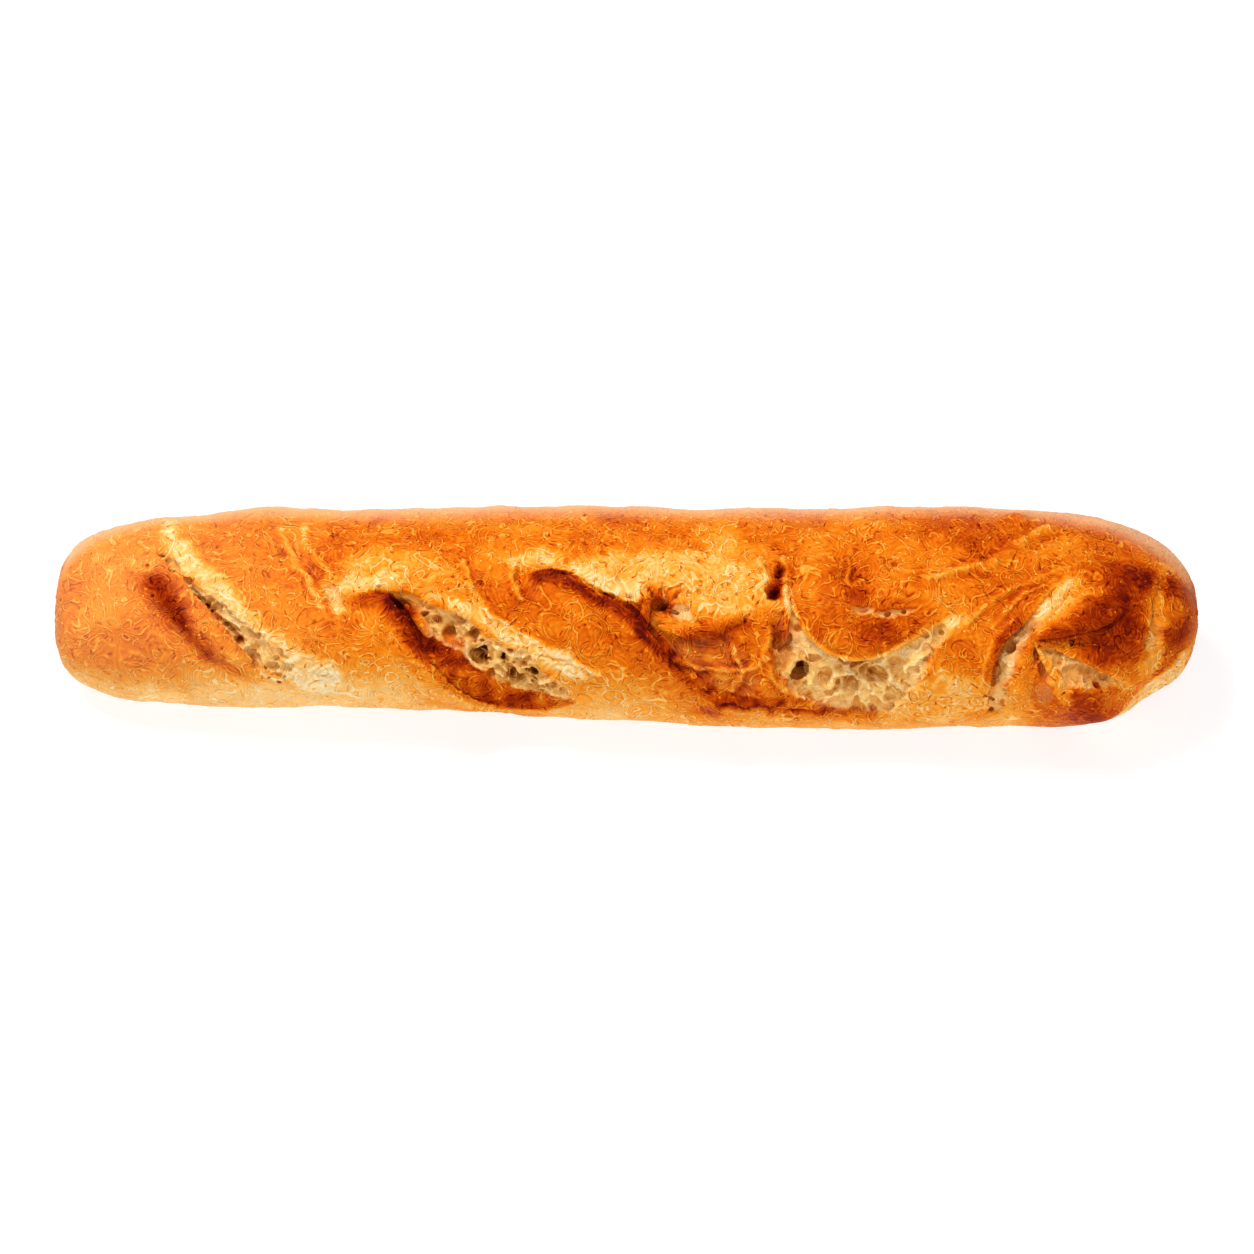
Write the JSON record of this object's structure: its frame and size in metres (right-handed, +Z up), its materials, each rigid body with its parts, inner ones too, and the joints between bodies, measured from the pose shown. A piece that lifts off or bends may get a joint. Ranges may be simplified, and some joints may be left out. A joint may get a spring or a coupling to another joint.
{
  "type": "baguette",
  "caption": "Short rustic baguette with a blunt end and a round end, diagonal slashes with raised burnt ears, open crumb, and a flat base to rest on.",
  "frame": {"origin": "centre of the loaf's box on the plane of its flat base", "axes": "+X along the loaf towards its round end, -Y towards the side where the slashes open, +Z up"},
  "size_m": [0.32, 0.0656, 0.0491],
  "materials": {
    "crust": "baked bread crust, mottled golden orange, semi-matt with a slight sheen"
  },
  "bodies": {
    "root": {"baguette": "crust"}
  },
  "joints": []
}
